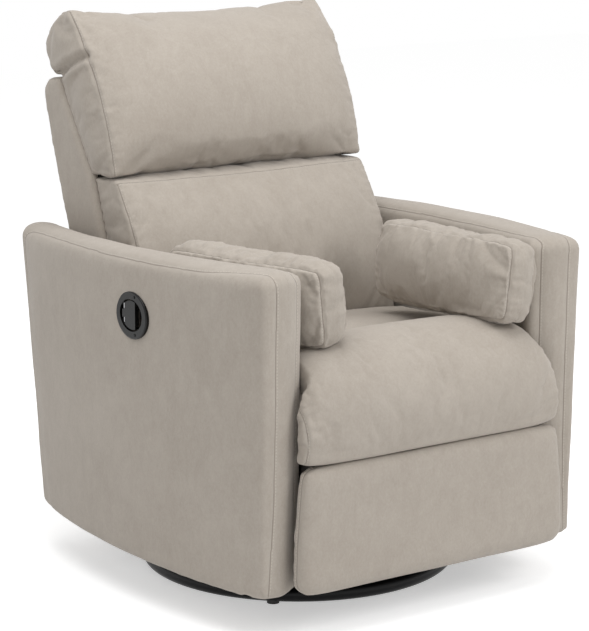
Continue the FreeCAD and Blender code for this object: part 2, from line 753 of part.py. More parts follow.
def seat_front_section(x, top, front):
    """Side profile of the front roll, its skirt hanging in front of the frame."""
    skirt = FRAME_FRONT - 2
    crease = (x, SEAT_CREASE_Y, min(top - 22, SEAT_CROWN - 29))
    crest = (x, SEAT_CREASE_Y - 113, top)
    brow = (x, front + 30, top - 22)
    toe = (x, front + 8, SEAT_TOE_Z)
    edges = [
        arc(toe, (x, front, (top + SEAT_TOE_Z) / 2 - 10), brow),
        arc(brow, (x, front + 65, top - 3), crest),
        arc(crest, (x, SEAT_CREASE_Y - 48, (top + crease[2]) / 2 + 5), crease),
        line(crease, (x, SEAT_CREASE_Y, SEAT_FLOOR)),
        line((x, SEAT_CREASE_Y, SEAT_FLOOR), (x, skirt, SEAT_FLOOR)),
        line((x, skirt, SEAT_FLOOR), (x, skirt, SEAT_TOE_Z)),
        line((x, skirt, SEAT_TOE_Z), toe),
    ]
    return Part.Wire(edges)


def seat_front_cushion():
    """The front roll, wider in front of the arms than between them."""
    half = SHELL_HALF - 10
    sections = []
    for i in range(-6, 7):
        edge = (abs(i) / 6) ** 9
        sections.append(seat_front_section(half * i / 6, SEAT_CROWN - 60 * edge, SEAT_FRONT + 8 * edge))
    beside_arm = box(
        ARM_FRONT_INNER - 5, half + 30, ARM_FRONT + 4, SEAT_CREASE_Y + 37, SEAT_TOE_Z - 52, SEAT_CROWN + 39
    )
    return loft(sections).cut(both(beside_arm))


def crowned_y(y, half, low, high, crown):
    """A section across the chair with an arched top."""
    return Part.Wire(
        [
            line((-half, y, low), (half, y, low)),
            line((half, y, low), (half, y, high)),
            arc((half, y, high), (0, y, high + crown), (-half, y, high)),
            line((-half, y, high), (-half, y, low)),
        ]
    )


def seat_rear_cushion():
    """The seat behind the roll, widening towards the back."""
    rear = BACK_PIVOT[0] - 39
    sections = [
        crowned_y(SEAT_CREASE_Y + 1, ARM_FRONT_INNER + 10, SEAT_FLOOR, SEAT_CROWN - 53, 20),
        crowned_y(SEAT_CREASE_Y + 37, ARM_FRONT_INNER + 22, SEAT_FLOOR, SEAT_CROWN - 41, 14),
        crowned_y(SEAT_CREASE_Y + 127, SHELL_HALF, SEAT_FLOOR, SEAT_CROWN - 41, 12),
        crowned_y(rear, SHELL_HALF + 10, SEAT_FLOOR, SEAT_CROWN - 49, 10),
    ]
    return loft(sections)


# Back


def back_pins():
    return both(headed_pin(BACK_PIN_RADIUS, FRAME_INNER, STILE_INNER, BACK_PIVOT, 0, PIN_HEAD_THICK))


def back_washers():
    return both(ring_x(SPACER_RADIUS + 2, BACK_PIN_RADIUS, FRAME_OUTER, BRACKET_INNER, BACK_PIVOT))


def on_back(*points):
    """Side-view points of the back, from where they lie off the hinge."""
    return [offset(BACK_PIVOT, point) for point in points]


def stile_y(step):
    """The y of the stile's front, at a height above the hinge."""
    for (y0, z0), (y1, z1) in zip(STILE_BENDS, STILE_BENDS[1:]):
        if z0 <= step <= z1:
            return BACK_PIVOT[0] + between(y0, y1, (step - z0) / (z1 - z0))
    return BACK_PIVOT[0] + STILE_BENDS[-1][0]


def back_stiles():
    """Bent uprights of the back frame."""
    front = on_back(*STILE_BENDS)
    behind = [(y + STILE_DEPTH, z) for y, z in front[::-1]]
    return both(plate_x(front + behind, STILE_INNER, STILE_OUTER))


def slat(step, height, depth, reach):
    """A bar across the back frame that follows the slope of the stiles."""
    z0 = BACK_PIVOT[1] + step
    z1 = z0 + height
    y0 = stile_y(step)
    y1 = stile_y(step + height)
    return plate_x([(y0, z0), (y1, z1), (y1 + depth, z1), (y0 + depth, z0)], -reach, reach)


def back_rails():
    """Rails between the stiles, the lowest one between the hinge brackets."""
    reaches = (BRACKET_INNER, STILE_INNER, STILE_INNER)
    pairs = zip(BACK_RAIL_STEPS, reaches)
    return [slat(step, BACK_RAIL_HEIGHT, STILE_DEPTH, reach) for step, reach in pairs]


def back_webbing():
    """Straps across the front of the back frame."""
    return [slat(step, WEB_WIDTH, -WEB_THICK, STILE_OUTER) for step in WEB_STEPS]


def back_hinge_brackets():
    """Plates from the back pivots up to the stiles."""
    knee, end = on_back((71, 133), (107, 236))
    width = 22
    stem = bar(BACK_PIVOT, knee, width, BRACKET_INNER, STILE_INNER)
    arm = bar(knee, end, width, BRACKET_INNER, STILE_INNER)
    plate = stem.fuse(arm).removeSplitter()
    hole = BACK_PIN_RADIUS + RUNNING_FIT
    return both(bore(plate, [BACK_PIVOT], hole, BRACKET_INNER, STILE_INNER))


def back_shell():
    """The padded outside of the back, hollow in front for the frame."""
    line_of_stile = on_back(*STILE_BENDS)
    block = plate_x(line_of_stile + on_back(*SHELL_OUTSIDE), -SHELL_HALF, SHELL_HALF)
    behind = BACK_PIVOT[0] + SHELL_OUTSIDE[4][0] - 4
    rear_edges = [e for e in block.Edges if abs(e.CenterOfMass.x) > 1 and e.CenterOfMass.y > behind]
    block = block.makeFillet(SHELL_ROUNDING, rear_edges)
    depth = STILE_DEPTH + SOFT_GAP
    mouth = on_back((-5, SHELL_MOUTH_Z))
    heel = on_back((61, SHELL_MOUTH_Z))
    front = mouth + [(y - 40, z) for y, z in line_of_stile]
    rear = [(y + depth, z) for y, z in line_of_stile[::-1]] + heel
    half = STILE_OUTER + SOFT_GAP
    return block.cut(plate_x(front + rear, -half, half))


def lumbar_section(z, front, crown, back):
    """A level section: crowned front, straight sides, flat back."""
    half = BACK_HALF
    return Part.Wire(
        [
            arc((-half, front, z), (0, front - crown, z), (half, front, z)),
            line((half, front, z), (half, back, z)),
            line((half, back, z), (-half, back, z)),
            line((-half, back, z), (-half, front, z)),
        ]
    )


def lumbar_cushion():
    """The lower back cushion, each section as (height, front, crown) off the hinge."""
    shape = [(117, -33, 2), (178, -25, 12), (268, -3, 26), (348, 35, 28), (414, 77, 20)]
    sections = []
    for step, front, crown in shape:
        back = stile_y(step) - WEB_THICK - SOFT_GAP
        z = BACK_PIVOT[1] + step
        sections.append(lumbar_section(z, BACK_PIVOT[0] + front, crown, back))
    return loft(sections)


def head_section(x, bulge, sag):
    """Side profile of the head cushion, flopping over the top of the shell."""

    def at(y, z):
        return (x, BACK_PIVOT[0] + y, BACK_PIVOT[1] + z)

    web_face = WEB_THICK + SOFT_GAP
    rest = SHELL_TOP + SOFT_GAP + 0.1
    top_y, top_z = STILE_BENDS[-1]
    bend_y, bend_z = STILE_BENDS[-2]
    chin = at(81, 420)
    peak = at(235, 714 - sag)
    nape = at(326, 646 - sag)
    rest_rear = at(277, rest)
    rest_front = at(261, rest)
    shoulder = at(top_y - web_face, top_z)
    bend = at(bend_y - web_face, bend_z + 1)
    edges = [
        arc(chin, at(137 - bulge, 564 + bulge * 0.4), peak),
        arc(peak, at(292, 690 - sag), nape),
        arc(nape, at(317, 620 - sag), rest_rear),
        line(rest_rear, rest_front),
        line(rest_front, shoulder),
        line(shoulder, bend),
        line(bend, chin),
    ]
    return Part.Wire(edges)


def head_cushion():
    half = BACK_HALF + 1
    inner = 150
    shape = [(-half, 6, 0), (-inner, 26, 9), (0, 30, 13), (inner, 26, 9), (half, 6, 0)]
    return loft([head_section(x, bulge, sag) for x, bulge, sag in shape])


# Footrest linkage


def foot_pivots():
    """All pivots of the folded linkage."""
    front_foot = offset(ARM_PIVOT, ARM_VECTOR)
    reach = (ARM_PIVOT[0] - front_foot[0], ARM_PIVOT[1] - front_foot[1])
    return {
        "arm": ARM_PIVOT,
        "rear_arm": offset(ARM_PIVOT, REAR_OFFSET),
        "carrier": front_foot,
        "rear_carrier": offset(front_foot, REAR_OFFSET),
        "panel": PANEL_PIVOT,
        "control": offset(front_foot, reach, CONTROL_SHARE),
        "panel_control": offset(PANEL_PIVOT, reach, CONTROL_SHARE),
    }


def footrest_mount_plates():
    pivots = foot_pivots()
    x0 = CONTROL_LAYER
    x1 = FRAME_INNER
    ears = bar(pivots["arm"], pivots["rear_arm"], 32, x0, x1)
    y, z = ARM_PIVOT
    tab = box(x0, x1, y - 24, y + 69, z - 7, FRAME_TOP)
    plate = ears.fuse(tab).removeSplitter()
    return both(bore(plate, [pivots["arm"], pivots["rear_arm"]], PIN_RADIUS, x0, x1))


def footrest_arm_pins():
    pivots = foot_pivots()
    pins = []
    for name in ("arm", "rear_arm"):
        point = pivots[name]
        pins += both(headed_pin(PIN_RADIUS, ARM_LAYER, FRAME_INNER, point, PIN_HEAD_THICK, 0))
    return pins


def footrest_arm_washers():
    pivots = foot_pivots()
    x0 = ARM_LAYER + LINK_THICK
    washers = []
    for name in ("arm", "rear_arm"):
        hole = PIN_RADIUS + WASHER_PLAY
        washers += both(ring_x(SPACER_RADIUS, hole, x0, CONTROL_LAYER, pivots[name]))
    return washers


def control_stud(point):
    """A shouldered stud that a control link turns on."""
    x0 = ARM_LAYER + LINK_THICK
    shoulder = rod_x(PIN_RADIUS + PIN_HEAD_RIM, x0, CONTROL_LAYER, point)
    pin = headed_pin(PIN_RADIUS, x0, CONTROL_LAYER + LINK_THICK, point, 0, STUD_HEAD_THICK)
    return shoulder.fuse(pin).removeSplitter()


def footrest_front_arms():
    """The two driving arms and the tube between them."""
    pivots = foot_pivots()
    x1 = ARM_LAYER + LINK_THICK
    arm = bar(pivots["arm"], pivots["carrier"], FOOT_ARM_WIDTH, ARM_LAYER, x1)
    holes = [pivots["arm"], pivots["carrier"]]
    arm = bore(arm, holes, PIN_RADIUS + RUNNING_FIT, ARM_LAYER, x1)
    arm = arm.fuse(control_stud(pivots["control"])).removeSplitter()
    middle = offset(ARM_PIVOT, ARM_VECTOR, 0.48)
    tube = rod_x(ARM_TUBE_RADIUS, -ARM_LAYER, ARM_LAYER, middle)
    return both(arm) + [tube]


def footrest_rear_arms():
    pivots = foot_pivots()
    x1 = ARM_LAYER + LINK_THICK
    arm = bar(pivots["rear_arm"], pivots["rear_carrier"], FOOT_ARM_WIDTH, ARM_LAYER, x1)
    holes = [pivots["rear_arm"], pivots["rear_carrier"]]
    return both(bore(arm, holes, PIN_RADIUS + RUNNING_FIT, ARM_LAYER, x1))


def footrest_carriers():
    """Bent bars between the arms and the footrest, with their own tube."""
    pivots = foot_pivots()
    x0 = CARRIER_LAYER
    x1 = CARRIER_LAYER + LINK_THICK
    long_bar = bar(pivots["carrier"], pivots["panel"], FOOT_ARM_WIDTH, x0, x1)
    heel = bar(pivots["carrier"], pivots["rear_carrier"], FOOT_ARM_WIDTH, x0, x1)
    carrier = long_bar.fuse(heel).removeSplitter()
    names = ("carrier", "rear_carrier", "panel")
    carrier = bore(carrier, [pivots[n] for n in names], PIN_RADIUS, x0, x1)
    front_foot = pivots["carrier"]
    reach = (PANEL_PIVOT[0] - front_foot[0], PANEL_PIVOT[1] - front_foot[1])
    tube = rod_x(CARRIER_TUBE_RADIUS, -x0, x0, offset(front_foot, reach, 0.45))
    return both(carrier) + [tube]


def footrest_carrier_pins():
    """Pins fixed in the carriers; arms and footrest turn on them."""
    pivots = foot_pivots()
    pins = []
    x1 = ARM_LAYER + LINK_THICK
    heads = (PIN_HEAD_THICK, CARRIER_HEAD_THICK)
    for name in ("carrier", "rear_carrier", "panel"):
        pin = headed_pin(PIN_RADIUS, CARRIER_LAYER, x1, pivots[name], *heads)
        shoulder = rod_x(PIN_RADIUS + PIN_HEAD_RIM, ARM_LAYER - WASHER, ARM_LAYER, pivots[name])
        pins += both(pin.fuse(shoulder).removeSplitter())
    return pins


def footrest_control_links():
    """Links that turn the footrest as the arms swing."""
    pivots = foot_pivots()
    x1 = CONTROL_LAYER + LINK_THICK
    link = bar(pivots["control"], pivots["panel_control"], FOOT_LINK_WIDTH, CONTROL_LAYER, x1)
    holes = [pivots["control"], pivots["panel_control"]]
    return both(bore(link, holes, PIN_RADIUS + RUNNING_FIT, CONTROL_LAYER, x1))


def foot_screw_rods(radius, y0, y1):
    """Rods along Y at the four screws of the footrest board."""
    rods = []
    for z in FOOT_SCREW_HEIGHTS:
        rods += both(Part.makeCylinder(radius, y1 - y0, vec(FOOT_SCREW_X, y0, z), vec(0, 1, 0)))
    return rods


def footrest_brackets():
    """Angle brackets on the back of the footrest board."""
    pivots = foot_pivots()
    x1 = ARM_LAYER + LINK_THICK
    panel = pivots["panel"]
    control = pivots["panel_control"]
    web = bar(panel, control, 22, ARM_LAYER, x1)
    back = FOOT_BOARD_BACK
    root = box(ARM_LAYER, x1, back, panel[0], panel[1] - 11, control[1] - 4)
    flange = box(ARM_LAYER - FLANGE_WIDTH, x1, back, FLANGE_BACK, FLANGE_BOTTOM, FLANGE_TOP)
    bracket = web.fuse([root, flange]).removeSplitter()
    bracket = bore(bracket, [panel], PIN_RADIUS + RUNNING_FIT, ARM_LAYER, x1)
    bracket = bracket.fuse(control_stud(control)).removeSplitter()
    holes = foot_screw_rods(FOOT_SCREW_RADIUS, back - 1, FLANGE_BACK + 1)
    return [side.cut(holes) for side in both(bracket)]


def footrest_screws():
    shanks = foot_screw_rods(FOOT_SCREW_RADIUS, FOOT_BOARD_BACK - FOOT_SCREW_DEPTH, FLANGE_BACK)
    heads = foot_screw_rods(FOOT_SCREW_HEAD_RADIUS, FLANGE_BACK, FLANGE_BACK + 2.5)
    return [shank.fuse(head).removeSplitter() for shank, head in zip(shanks, heads)]


def foot_board_block(gap, back):
    return box(
        -FOOT_BOARD_HALF - gap, FOOT_BOARD_HALF + gap, FOOT_BOARD_FRONT - gap, back,
        FOOT_BOARD_BOTTOM - gap, FOOT_BOARD_TOP + gap,
    )


def footrest_board():
    holes = foot_screw_rods(FOOT_SCREW_RADIUS, FOOT_BOARD_BACK - FOOT_SCREW_DEPTH, FOOT_BOARD_BACK)
    return foot_board_block(0, FOOT_BOARD_BACK).cut(holes)


def footrest_outline(y, inset):
    """Front view of the footrest: a little wider low down, corners rounded."""
    low = FOOT_BOTTOM + inset
    high = FOOT_TOP - inset
    wide = FOOT_HALF_LOW - inset
    narrow = FOOT_HALF_HIGH - inset
    middle = FOOT_HALF_LOW - 4 - inset
    waist = FOOT_BOTTOM + 108
    foot = FOOT_HALF_LOW - 25
    return Part.Wire(
        [
            line((-foot, y, low), (foot, y, low)),
            arc((foot, y, low), (wide - 7, y, low + 7), (wide, y, low + 26)),
            arc((wide, y, low + 26), (middle, y, waist), (narrow, y, high - 24)),
            arc((narrow, y, high - 24), (narrow - 7, y, high - 6), (narrow - 24, y, high)),
            line((narrow - 24, y, high), (24 - narrow, y, high)),
            arc((24 - narrow, y, high), (7 - narrow, y, high - 6), (-narrow, y, high - 24)),
            arc((-narrow, y, high - 24), (-middle, y, waist), (-wide, y, low + 26)),
            arc((-wide, y, low + 26), (7 - wide, y, low + 7), (-foot, y, low)),
        ]
    )


def footrest_pad():
    """The padded face, with room behind it for the board."""
    rings = [(FOOT_PAD_BACK, 0), (FOOT_PAD_EDGE, 0), (FOOT_PAD_EDGE - 8, 9), (FOOT_PAD_FACE, 22)]
    back, edge, shoulder, face = [footrest_outline(y, inset) for y, inset in rings]
    side = loft([back, edge], True)
    front = loft([edge, shoulder, face], True)
    return side.fuse(front).cut(foot_board_block(SOFT_GAP, FOOT_BOARD_BACK + 8))


# Loose side pillows


def pillow(length, height, edge, crown):
    """A boxed pillow standing on its long side, fatter in the middle."""
    sections = []
    shares = ((-0.5, 0.0, 4), (-0.25, 0.8, 0), (0.0, 1.0, 0), (0.25, 0.8, 0), (0.5, 0.0, 4))
    for along, fat, drop in shares:
        y = along * length
        side = edge / 2 + 8 * fat
        bulge = (crown - edge) / 2 * fat + 4
        top = height - drop
        sections.append(
            Part.Wire(
                [
                    line((-side, y, drop), (side, y, drop)),
                    arc((side, y, drop), (side + bulge, y, height / 2), (side, y, top)),
                    arc((side, y, top), (0, y, top + 4), (-side, y, top)),
                    arc((-side, y, top), (-side - bulge, y, height / 2), (-side, y, drop)),
                ]
            )
        )
    return loft(sections)


def placed_pillow(x, y, z, turn, lean):
    """A pillow on the seat, turned in plan and leaning against its arm."""
    body = pillow(PILLOW_LENGTH, PILLOW_HEIGHT, PILLOW_EDGE, PILLOW_CROWN)
    body.rotate(vec(0, 0, 0), vec(0, 1, 0), lean)
    body.rotate(vec(0, 0, 0), vec(0, 0, 1), turn)
    body.translate(vec(x, y, z))
    return body


def side_pillow_left():
    return placed_pillow(74 - SHELL_HALF, -180, PILLOW_REST_LEFT, 14, -PILLOW_LEAN)


def side_pillow_right():
    return placed_pillow(SHELL_HALF - 105, -212, PILLOW_REST_RIGHT, 4, PILLOW_LEAN)


PIECES = {
    "floor_ring": floor_ring,
    "ring_glides": ring_glides,
    "base_crossbars": base_crossbars,
    "hub_post": hub_post,
    "thrust_washer": thrust_washer,
    "post_collar": post_collar,
    "swivel_plate": swivel_plate,
    "glide_crossbars": glide_crossbars,
    "hanger_brackets": hanger_brackets,
    "hanger_bolts": hanger_bolts,
    "glide_top_pins": glide_top_pins,
    "glide_spacers": glide_spacers,
    "front_glide_links": lambda: glide_link_pair(-GLIDE_Y),
    "rear_glide_links": lambda: glide_link_pair(GLIDE_Y),
    "chassis_rails": chassis_rails,
    "glide_bottom_pins": glide_bottom_pins,
    "glide_washers": glide_washers,
    "chassis_cross_tubes": chassis_cross_tubes,
    "arm_bolts": arm_bolts,
    "track_posts": track_posts,
    "seat_tracks": seat_tracks,
    "rear_stretcher": rear_stretcher,
    "rear_panel": rear_panel,
    "arm_board_left": lambda: mirrored(arm_board()),
    "arm_board_right": arm_board,
    "arm_left": arm_left,
    "arm_right": arm_right,
    "latch_cup": latch_cup,
    "latch_screws": latch_screws,
    "latch_pin": latch_pin,
    "release_handle": release_handle,
    "seat_runners": seat_runners,
    "seat_side_rails": seat_side_rails,
    "seat_cross_rails": seat_cross_rails,
    "seat_springs": seat_springs,
    "seat_front_cushion": seat_front_cushion,
    "seat_rear_cushion": seat_rear_cushion,
    "back_pins": back_pins,
    "back_washers": back_washers,
    "back_stiles": back_stiles,
    "back_rails": back_rails,
    "back_webbing": back_webbing,
    "back_hinge_brackets": back_hinge_brackets,
    "back_shell": back_shell,
    "lumbar_cushion": lumbar_cushion,
    "head_cushion": head_cushion,
    "footrest_mount_plates": footrest_mount_plates,
    "footrest_arm_pins": footrest_arm_pins,
    "footrest_arm_washers": footrest_arm_washers,
    "footrest_front_arms": footrest_front_arms,
    "footrest_rear_arms": footrest_rear_arms,
    "footrest_carriers": footrest_carriers,
    "footrest_carrier_pins": footrest_carrier_pins,
    "footrest_control_links": footrest_control_links,
    "footrest_brackets": footrest_brackets,
    "footrest_screws": footrest_screws,
    "footrest_board": footrest_board,
    "footrest_pad": footrest_pad,
    "side_pillow_left": side_pillow_left,
    "side_pillow_right": side_pillow_right,
}


os.makedirs("parts", exist_ok=True)
for name, make in PIECES.items():
    save(name, make())
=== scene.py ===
import json
import math

import bpy
import numpy as np
from mathutils import Euler, Matrix, Vector, kdtree, noise
from mathutils.bvhtree import BVHTree


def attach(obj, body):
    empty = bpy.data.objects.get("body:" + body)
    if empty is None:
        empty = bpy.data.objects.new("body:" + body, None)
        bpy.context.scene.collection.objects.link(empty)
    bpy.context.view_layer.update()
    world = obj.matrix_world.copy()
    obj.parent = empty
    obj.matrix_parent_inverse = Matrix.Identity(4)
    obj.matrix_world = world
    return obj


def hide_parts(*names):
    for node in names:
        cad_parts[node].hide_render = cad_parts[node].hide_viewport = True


# A swivel glider recliner in brushed cloth, seen from its front left-hand corner.
# Metres, in the frame of the part: the front is -Y, +Z is up.
# Seam lines are given in millimetres, as the part's own sizes are.

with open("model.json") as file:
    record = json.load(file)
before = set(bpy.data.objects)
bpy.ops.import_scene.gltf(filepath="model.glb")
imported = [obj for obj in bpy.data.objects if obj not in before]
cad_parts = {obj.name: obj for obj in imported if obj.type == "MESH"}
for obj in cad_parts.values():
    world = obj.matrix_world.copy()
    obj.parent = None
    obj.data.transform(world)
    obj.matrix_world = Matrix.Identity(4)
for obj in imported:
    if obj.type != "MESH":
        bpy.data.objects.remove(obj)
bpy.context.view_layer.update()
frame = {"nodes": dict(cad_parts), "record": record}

# camera: place in metres, turns in degrees, lens in millimetres
CAMERA_PLACE = Vector((-2.4993, -3.4626, 1.3420))
CAMERA_YAW = 35.73
CAMERA_PITCH = -11.71
CAMERA_LENS = 136.4

# cloth colours, linear
CLOTH = (0.384, 0.343, 0.298)
CLOTH_PALE = (0.480, 0.436, 0.386)
CLOTH_DARK = (0.296, 0.256, 0.216)
# painted shade for the seam grooves
SEAM_PAINTED_SHADE = (0.170, 0.142, 0.118)
THREAD = (0.560, 0.510, 0.440)
# dark lining: painted shade for the frame seen in the gaps
SHADE_LINING = (0.060, 0.052, 0.045)
SHADE_LINING_PALE = (0.090, 0.080, 0.070)

# seams and stitches
SAMPLE_STEP = 0.002
GROOVE_HALF_WIDTH = 0.0045
GATHER_REACH = 0.018
STITCH_PITCH = 0.0055
STITCH_OFFSET = 0.0030

# even meshes of the covers
WELD_REACH = 0.00005
VOXEL = 0.006
COARSE_VOXEL = 0.008
PILLOW_VOXEL = 0.005

# filling a cover
PINNED_REACH = 0.004
SLACK_REACH = 0.03
FILL_STEPS = 20

# sizes shared with the solids, in millimetres
SEAT_HALF = 276
BACK_HALF = 279
FOOT_SEAM_Y = -392
ARM_FRONT_Y = -378
ARM_RUN = 760
ARM_BOTTOM_FRONT = 75
ARM_BOTTOM_RISE = 9
ARM_TOP_FRONT = 624
ARM_TOP_DROP = 13
PANEL_HALF = 280
PANEL_Y = 340
PANEL_BOTTOM = 96
PANEL_TOP = 307
PILLOW_LENGTH = 348
PILLOW_HEIGHT = 148
PILLOW_HALF_EDGE = 29
PILLOW_FAT = 8

# studio
FLOOR_GLOW = 0.45
WORLD_LIGHT = 0.62


# Small helpers


def link_object(name, mesh):
    piece = bpy.data.objects.new(name, mesh)
    bpy.context.scene.collection.objects.link(piece)
    return piece


def baked(piece):
    """Apply the modifiers of a piece to its mesh."""
    graph = bpy.context.evaluated_depsgraph_get()
    mesh = bpy.data.meshes.new_from_object(piece.evaluated_get(graph))
    piece.modifiers.clear()
    piece.data = mesh


def read_points(mesh):
    flat = np.zeros(len(mesh.vertices) * 3)
    mesh.vertices.foreach_get("co", flat)
    return flat.reshape(-1, 3)


def read_normals(mesh):
    flat = np.zeros(len(mesh.vertices) * 3)
    mesh.vertices.foreach_get("normal", flat)
    return flat.reshape(-1, 3)


def write_points(mesh, points):
    mesh.vertices.foreach_set("co", points.reshape(-1))
    mesh.update()


def swell(distance, reach):
    """0 at a seam, rising to 1 about reach away from it."""
    return 1 - np.exp(-((distance / reach) ** 2))


def wander(points, pitch, seed=0.0):
    """Smooth random values between about -1 and 1."""
    shift = Vector((seed, seed * 1.7, -seed))
    return np.array([noise.noise(Vector(p) * pitch + shift) for p in points])


# Seam lines


def arc_points(a, b, c, count=24):
    """Points on the circular arc from a to c through b."""
    a, b, c = Vector(a), Vector(b), Vector(c)
    ab = b - a
    ac = c - a
    axis = ab.cross(ac)
    to_centre = (axis.cross(ab) * ac.length_squared + ac.cross(axis) * ab.length_squared)
    to_centre /= 2 * axis.length_squared
    centre = a + to_centre
    x_axis = (a - centre).normalized()
    y_axis = axis.normalized().cross(x_axis)
    radius = (a - centre).length
    end = math.atan2((c - centre).dot(y_axis), (c - centre).dot(x_axis)) % (2 * math.pi)
    turns = [end * i / count for i in range(count + 1)]
    return [centre + (x_axis * math.cos(t) + y_axis * math.sin(t)) * radius for t in turns]


def rounded(corners, radius=0.0, count=6):
    """A line through the corners, each turned with a smooth bend."""
    corners = [Vector(c) for c in corners]
    path = [corners[0]]
    for before, corner, after in zip(corners, corners[1:], corners[2:]):
        reach = min(radius, (corner - before).length / 2, (after - corner).length / 2)
        start = corner + (before - corner).normalized() * reach
        end = corner + (after - corner).normalized() * reach
        for i in range(count + 1):
            t = i / count
            path.append(start.lerp(corner, t).lerp(corner.lerp(end, t), t))
    return path + [corners[-1]]


def in_metres(path):
    return [Vector(p) / 1000 for p in path]


def mirrored(path):
    return [Vector((-p[0], p[1], p[2])) for p in path]


def both(path):
    return [path, mirrored(path)]


class Seams:
    """Sewn lines on a cover, sampled evenly, each sample with its direction and distance along."""

    def __init__(self, paths):
        self.points = []
        self.tangents = []
        self.along = []
        for path in paths:
            self.add(path)

    def add(self, path):
        travelled = 0.0
        for a, b in zip(path, path[1:]):
            length = (b - a).length
            if length < 1e-7:
                continue
            count = max(1, round(length / SAMPLE_STEP))
            for i in range(count):
                self.points.append(a.lerp(b, i / count))
                self.tangents.append((b - a) / length)
                self.along.append(travelled + length * i / count)
            travelled += length

    def laid_on(self, mesh):
        """The same lines moved onto the surface of a mesh."""
        corners = [v.co for v in mesh.vertices]
        tree = BVHTree.FromPolygons(corners, [p.vertices for p in mesh.polygons])
        laid = Seams([])
        laid.points = [tree.find_nearest(p)[0] for p in self.points]
        laid.tangents = self.tangents
        laid.along = self.along
        return laid

    def measure(self, points, normals):
        """For each point: the nearest sample, its distance, its signed offset and its place along."""
        tree = kdtree.KDTree(len(self.points))
        for i, sample in enumerate(self.points):
            tree.insert(sample, i)
        tree.balance()
        found = [tree.find(p) for p in points]
        index = np.array([f[1] for f in found])
        away = np.array([f[2] for f in found])
        near = np.array(self.points)[index]
        tangents = np.array(self.tangents)[index]
        side = np.cross(tangents, normals)
        step = points - near
        offset = away * np.where((step * side).sum(1) < 0, -1.0, 1.0)
        along = np.array(self.along)[index] + (step * tangents).sum(1)
        return near, away, offset, along


def seams_of(lines):
    """Seams along lines that are written in millimetres."""
    return Seams([in_metres(line) for line in lines])


# Materials


class Shader:
    """A short way to write node materials."""

    def __init__(self, name):
        self.material = bpy.data.materials.new(name)
        self.material.use_nodes = True
        self.tree = self.material.node_tree
        self.surface = self.tree.nodes["Principled BSDF"]
        self.place = self.node("ShaderNodeTexCoord").outputs["Object"]

    def node(self, kind, **values):
        made = self.tree.nodes.new(kind)
        for key, value in values.items():
            setattr(made, key, value)
        return made

    def wire(self, source, target):
        self.tree.links.new(source, target)

    def feed(self, socket, value):
        if isinstance(value, tuple):
            socket.default_value = (*value, 1.0)
        elif isinstance(value, (int, float)):
            socket.default_value = value
        else:
            self.wire(value, socket)

    def stretched(self, scale):
        mapping = self.node("ShaderNodeMapping")
        mapping.inputs["Scale"].default_value = scale
        self.wire(self.place, mapping.inputs["Vector"])
        return mapping.outputs["Vector"]

    def noise(self, scale, detail=3.0, rough=0.5, stretch=(1, 1, 1), distortion=0.0):
        made = self.node("ShaderNodeTexNoise")
        made.inputs["Scale"].default_value = scale
        made.inputs["Detail"].default_value = detail
        made.inputs["Roughness"].default_value = rough
        made.inputs["Distortion"].default_value = distortion
        self.wire(self.stretched(stretch), made.inputs["Vector"])
        return made.outputs["Fac"]

    def remap(self, value, low, high, to_low=0.0, to_high=1.0, smooth=False):
        made = self.node("ShaderNodeMapRange")
        if smooth:
            made.interpolation_type = "SMOOTHSTEP"
        made.inputs["From Min"].default_value = low
        made.inputs["From Max"].default_value = high
        made.inputs["To Min"].default_value = to_low
        made.inputs["To Max"].default_value = to_high
        self.wire(value, made.inputs["Value"])
        return made.outputs["Result"]

    def math(self, kind, a, b=0.0):
        made = self.node("ShaderNodeMath", operation=kind)
        self.feed(made.inputs[0], a)
        self.feed(made.inputs[1], b)
        return made.outputs["Value"]

    def blend(self, share, first, second):
        """A colour between two colours."""
        made = self.node("ShaderNodeMix", data_type="RGBA")
        first_socket, second_socket = [s for s in made.inputs if s.type == "RGBA"]
        self.feed(made.inputs["Factor"], share)
        self.feed(first_socket, first)
        self.feed(second_socket, second)
        return [s for s in made.outputs if s.type == "RGBA"][0]

    def attribute(self, name):
        return self.node("ShaderNodeAttribute", attribute_name=name).outputs["Fac"]

    def bump(self, height, strength, distance, normal=None):
        made = self.node("ShaderNodeBump")
        made.inputs["Strength"].default_value = strength
        made.inputs["Distance"].default_value = distance
        self.wire(height, made.inputs["Height"])
        if normal is not None:
            self.wire(normal, made.inputs["Normal"])
        return made.outputs["Normal"]

    def set(self, **values):
        for name, value in values.items():
            self.surface.inputs[name.replace("_", " ")].default_value = value

    def finish(self, colour, rough, normal):
        self.feed(self.surface.inputs["Base Color"], colour)
        self.feed(self.surface.inputs["Roughness"], rough)
        self.feed(self.surface.inputs["Normal"], normal)
        return self.material


